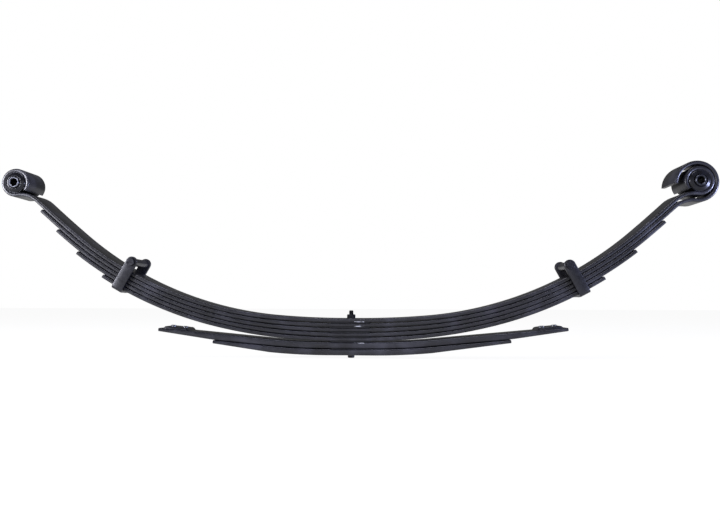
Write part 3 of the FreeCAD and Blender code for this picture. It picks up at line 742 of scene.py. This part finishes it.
def overload_leaves():
    for side in SIDES:
        stations = overload_stations(0.0, UPPER_TOP, UPPER_RUN[side], UPPER_TAPER)
        leaf_piece(
            f"overload_upper_{side}", "overload_leaf_upper", side, "overload", stations, (False, True)
        )
    for side in SIDES:
        run = LOWER_RUN[side]
        stations = overload_stations(OVERLOAD_THICK + OVERLOAD_GAP, OVERLOAD_THICK, run, run)
        leaf_piece(
            f"overload_lower_{side}", "overload_leaf_lower", side, "overload", stations, (False, True)
        )


# ---------------------------------------------------------------- centre bolt


def riding(piece, body, node):
    """Fixes a finished piece to its body in place of a CAD node."""
    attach(piece, body)
    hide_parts(node)


def centre_bolt():
    upright = Matrix.Identity(4)
    tip = PACK_TOP + CENTRE_STUD_TALL
    head = [(ON_AXIS, -CENTRE_HEAD_TALL), (5.0, -CENTRE_HEAD_TALL), (6.0, -5.0), (6.0, 0.0)]
    shank = [(BOLT_RADIUS, 0.05), (BOLT_RADIUS, PACK_TOP + 7.0)]
    stud = threads(PACK_TOP + 7.3, tip - 0.9) + [(3.3, tip - 0.4), (3.0, tip), (ON_AXIS, tip)]
    bolt = turned("centre_bolt_turned", head + shank + stud, DARK_BOLT, upright)
    riding(bolt, "pack", "centre_bolt")
    low, high = [PACK_TOP + height for height in CENTRE_NUT]
    nut = hexagon_block("centre_nut_faced", low, high, upright, True)
    riding(nut, "pack", "centre_bolt_nut")


# ---------------------------------------------------------------- bushes


def bush(side):
    """A sleeve and its rubber in an eye, turned about the width of the spring."""
    low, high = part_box(f"bush_sleeve_{side}")
    place = Matrix.Translation((low + high) / 2) @ Matrix.Rotation(math.radians(-90), 4, "X")
    sleeve_end = [(10.0, 34.6), (9.4, 35.6), (8.9, 36.0), (7.3, 36.0), (6.5, 35.2)]
    sleeve = turned(f"sleeve_turned_{side}", both_ends(sleeve_end), SLEEVE_STEEL, place, 72, True)
    riding(sleeve, f"sleeve_{side}", f"bush_sleeve_{side}")
    lip = [
        (16.9, 30.02), (17.5, 30.05), (17.9, 30.3), (18.0, 30.8), (17.6, 31.3), (16.2, 31.8), (14.6, 32.5),
        (13.2, 33.2), (12.4, 33.5), (11.6, 33.4), (11.0, 32.8), (10.6, 32.5), (10.1, 32.4),
    ]
    rubber = turned(f"rubber_moulded_{side}", both_ends(lip), BUSH_RUBBER, place, 72, True)
    riding(rubber, f"eye_{side}", f"bush_rubber_{side}")


# ---------------------------------------------------------------- clips


def clip_frame(side):
    """Under the fifth leaf at the clip: X along the leaf, Y across, Z square to it."""
    return leaf_frame(*under_main(side, CLIP_STATION[side], PACK_DEPTH), side)


def strap_line():
    """The inner face of a strap, from one arm's rounded tip round the bottom to the other's.

    Each place on it is y, z, the angle it faces and the strap's half width there.
    """
    made = []
    for k in range(12):
        rise = STRAP_HALF * math.cos(math.radians(90 * k / 11))
        half = math.sqrt(max(0.0, STRAP_HALF ** 2 - rise ** 2))
        made.append((-STRAP_INNER, CLIP_BOLT_HEIGHT + rise, -90.0, max(half, 0.3)))
    made.append((-STRAP_INNER, CLIP_BOLT_HEIGHT - 12, -90.0, STRAP_HALF))
    made.append((-STRAP_INNER, 12.0, -90.0, STRAP_HALF))
    for k in range(7):
        turn = math.radians(90 * k / 6)
        y = -STRAP_INNER + STRAP_BEND - STRAP_BEND * math.cos(turn)
        z = STRAP_BEND - STRAP_BEND * math.sin(turn)
        made.append((y, z, -90.0 + math.degrees(turn), STRAP_HALF))
    return made + [(-y, z, -angle, half) for y, z, angle, half in made[::-1]]


def strap(side):
    mesh_data = bmesh.new()
    place = clip_frame(side)
    rings = []
    for y, z, angle, half in strap_line():
        turn = math.radians(angle)
        out = Vector((0, math.sin(turn), -math.cos(turn)))
        centre = Vector((0, y, z))
        section = rounded_section(half, STRAP_THICK, STRAP_EDGE_ROUND)
        rings.append([place @ ((centre + out * d + Vector((a, 0, 0))) * MM) for a, d in section])
    skin(mesh_data, rings)
    piece = finish_mesh(f"strap_bent_{side}", mesh_data, STRAP_PAINT, 40.0)
    riding(piece, f"clip_{side}", f"clip_strap_{side}")


def clip_fasteners(side):
    """The bolt across a clip, with its head, its nut and the tube that holds the arms apart."""
    body = f"clip_{side}"
    across = clip_frame(side) @ Matrix.Translation(Vector((0, 0, CLIP_BOLT_HEIGHT)) * MM)
    across = across @ Matrix.Rotation(math.radians(-90), 4, "X")
    outer = STRAP_INNER + STRAP_THICK
    backwards = Matrix.Translation(Vector((0, 0, -outer)) * MM) @ Matrix.Rotation(math.pi, 4, "X")
    head = hexagon_block(f"clip_head_{side}", 0.0, CLIP_HEAD_TALL, across @ backwards)
    riding(head, body, f"clip_bolt_{side}")
    profile = [(ON_AXIS, -outer), (BOLT_RADIUS, -outer), (BOLT_RADIUS, outer + 4.0)]
    profile += threads(outer + 4.2, outer + 9.0)
    profile += [(3.2, outer + 9.3), (ON_AXIS, outer + 9.5)]
    shank = turned(f"clip_shank_{side}", profile, DARK_BOLT, across)
    riding(shank, body, f"clip_bolt_{side}")
    nut = hexagon_block(f"clip_nut_faced_{side}", outer, outer + CLIP_NUT_TALL, across, True)
    riding(nut, body, f"clip_nut_{side}")
    end = STRAP_INNER - TUBE_SHORT
    tube_end = [(7.0, end - 0.5), (6.5, end), (4.1, end)]
    tube = turned(f"tube_cut_{side}", both_ends(tube_end), STRAP_PAINT, across, 40, True)
    riding(tube, body, f"clip_tube_{side}")


def clip_rivet(side):
    domed = [(ON_AXIS, -8.2), (2.6, -8.1), (4.8, -7.6), (6.4, -6.6), (7.0, -5.4), (7.0, -5.0)]
    shank = [(4.0, -5.0), (4.0, 6.5), (ON_AXIS, 6.5)]
    rivet = turned(f"rivet_domed_{side}", domed + shank, STRAP_PAINT, clip_frame(side), 32)
    riding(rivet, f"clip_{side}", f"clip_rivet_{side}")


# ---------------------------------------------------------------- tip buttons and overload pads


def tip_button(level, side):
    """A pressed button in a leaf's tip: a nub below the leaf and a thin disc on top of it."""
    name = LEAVES[level]
    path = PATHS[name][side]
    place = leaf_frame(*walk(path, leaf_top(level), length_of(path) - BUTTON_SETBACK[name]), side)
    nub = [
        (ON_AXIS, -8.4), (2.6, -8.35), (4.3, -8.0), (5.0, -7.3), (5.0, -6.6), (4.0, -6.6), (4.0, 0.1),
    ]
    disc = [(10.4, 0.1), (11.0, 0.3), (11.0, 0.5), (10.6, 0.65), (ON_AXIS, 0.65)]
    button = turned(f"button_pressed_{name}_{side}", nub + disc, LINER_PLATE, place, 32)
    bend_zone(button, side, "end")
    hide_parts(f"tip_button_{name}_{side}")


def overload_pad(side):
    """A pressed pad on an overload leaf's tip, its ends sloped, and its two rivets."""
    path = overload_path(0.0, UPPER_RUN[side])
    setback = length_of(path, OVERLOAD_SEAT) - PAD_SETBACK
    place = leaf_frame(*walk(path, UPPER_TOP, setback, OVERLOAD_SEAT), side)
    mesh_data = bmesh.new()
    rings = []
    for lift, inset in ((0.0, 0.4), (0.4, 0.0), (3.0, 0.0), (3.9, 0.5), (4.35, 1.4), (4.5, 2.6)):
        half_x = PAD_HALF_LONG - inset - PAD_CORNER - PAD_END_SLOPE * lift
        half_y = PAD_HALF_WIDE - inset - PAD_CORNER
        ring = []
        for k in range(24):
            turn = 2 * math.pi * (k + 0.5) / 24
            x = math.copysign(half_x, math.cos(turn)) + PAD_CORNER * math.cos(turn)
            y = math.copysign(half_y, math.sin(turn)) + PAD_CORNER * math.sin(turn)
            ring.append(place @ (Vector((x, y, lift)) * MM))
        rings.append(ring)
    skin(mesh_data, rings)
    pad = finish_mesh(f"pad_pressed_{side}", mesh_data, STRAP_PAINT)
    riding(pad, f"overload_tip_{side}", f"overload_pad_{side}")
    shank = [(ON_AXIS, -5.4), (3.0, -5.4), (3.0, 4.5)]
    dome = [(5.5, 4.5), (5.5, 4.9), (5.0, 5.7), (3.6, 6.3), (ON_AXIS, 6.5)]
    for name, shift in (("inner", -PAD_RIVET_SHIFT), ("outer", PAD_RIVET_SHIFT)):
        centre = place @ Matrix.Translation(Vector((shift, 0, 0)) * MM)
        rivet = turned(f"pad_rivet_domed_{name}_{side}", shank + dome, BRIGHT_BOLT, centre, 28)
        riding(rivet, f"overload_tip_{side}", f"overload_pad_rivets_{side}")


# ---------------------------------------------------------------- studio

FLOOR_CORNERS = [(-9, -6), (9, -6), (9, 9), (-9, 9)]
FLOOR_BELOW = 0.0005
# the room and the floor look pale to the camera, and give the spring only this much of their light
ROOM_LIGHT = 0.11
ROOM_SEEN = 1.0
FLOOR_LIGHT = 0.4
FLOOR_SEEN = 0.93
# each light's name, place, aim, size in metres, power in watts and colour
SOFT_BOXES = [
    ("key", (-2.0, -1.3, 0.5), (-0.45, 0, 0.2), 0.6, 52.0, "#F0F1FF"),
    ("rim", (2.0, -0.9, 0.05), (0.5, 0, 0.25), 0.5, 70.0, "#C3CDFF"),
    ("overhead", (0.1, -0.5, 2.3), (0, 0, 0.1), 0.9, 16.0, "#EEEEFF"),
    ("front", (0.1, -2.6, 0.5), (0, 0, 0.12), 1.2, 4.0, "#EEEEFF"),
]
CAMERA_LENS = 34.2
CAMERA_SENSOR = 36.0
CAMERA_PLACE = (0.075, -1.224, 0.0922)
CAMERA_TURN = (90 + 3.55, -0.16, 2.78)


def brightness(tree, light, seen):
    """A glow that is one strength as light on other things and another as the camera sees it."""
    node = add_node(
        tree,
        "ShaderNodeMapRange",
        inputs={"To Min": light, "To Max": seen},
        links={"Value": add_node(tree, "ShaderNodeLightPath").outputs["Is Camera Ray"]},
    )
    return node.outputs["Result"]


def pale_room():
    """A white backdrop in a room whose walls give only a low, even light."""
    world = bpy.data.worlds.new("studio")
    bpy.context.scene.world = world
    world.use_nodes = True
    tree = world.node_tree
    tree.nodes.clear()
    backdrop = add_node(
        tree,
        "ShaderNodeBackground",
        inputs={"Color": linear("#FFFFFF")},
        links={"Strength": brightness(tree, ROOM_LIGHT, ROOM_SEEN)},
    )
    output = add_node(tree, "ShaderNodeOutputWorld")
    tree.links.new(backdrop.outputs["Background"], output.inputs["Surface"])


def studio_board():
    """Matt white studio board, lit from behind so that it stays pale."""
    material, tree, output, _ = blank_material("white_studio_board")
    shader = add_node(
        tree,
        "ShaderNodeBsdfPrincipled",
        inputs={
            "Base Color": linear("#7A7A7A"),
            "Roughness": 0.9,
            "Specular IOR Level": 0.1,
            "Emission Color": linear("#FFFFFF"),
        },
        links={"Emission Strength": brightness(tree, FLOOR_LIGHT, FLOOR_SEEN)},
    )
    tree.links.new(shader.outputs["BSDF"], output.inputs["Surface"])
    return material


def soft_box(name, place, target, size, power, tint):
    lamp = bpy.data.lights.new(name, "AREA")
    lamp.color = linear(tint)[:3]
    lamp.size = size
    lamp.energy = power
    holder = bpy.data.objects.new(name, lamp)
    bpy.context.scene.collection.objects.link(holder)
    holder.location = place
    aim = Vector(target) - Vector(place)
    holder.rotation_euler = aim.to_track_quat("-Z", "Y").to_euler()


def studio():
    floor_mesh = bmesh.new()
    floor_height = cad_box[0].z - FLOOR_BELOW
    floor_mesh.faces.new([floor_mesh.verts.new((x, y, floor_height)) for x, y in FLOOR_CORNERS])
    floor = finish_mesh("studio_floor", floor_mesh, studio_board())
    bpy.context.scene.view_settings.view_transform = "Standard"
    pale_room()
    for light in SOFT_BOXES:
        soft_box(*light)


def camera():
    lens = bpy.data.cameras.new("camera")
    lens.lens = CAMERA_LENS
    lens.sensor_width = CAMERA_SENSOR
    holder = bpy.data.objects.new("camera", lens)
    bpy.context.scene.collection.objects.link(holder)
    holder.location = CAMERA_PLACE
    holder.rotation_euler = [math.radians(angle) for angle in CAMERA_TURN]
    bpy.context.scene.camera = holder


# ---------------------------------------------------------------- the spring

# CAD nodes whose shapes are right stay, and only take a finish
KEPT = {
    "centre_liners": LINER_PLATE,
    "bush_shell_left": DARK_BOLT,
    "bush_shell_right": DARK_BOLT,
}

spring_leaves()
overload_leaves()
centre_bolt()
for spring_side in SIDES:
    bush(spring_side)
    strap(spring_side)
    clip_fasteners(spring_side)
    clip_rivet(spring_side)
    overload_pad(spring_side)
tip_button(1, "left")
for button_level in (2, 3, 4):
    for spring_side in SIDES:
        tip_button(button_level, spring_side)
for node_name, finish in KEPT.items():
    node_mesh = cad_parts[node_name].data
    node_mesh.materials.clear()
    node_mesh.materials.append(finish)
studio()
camera()
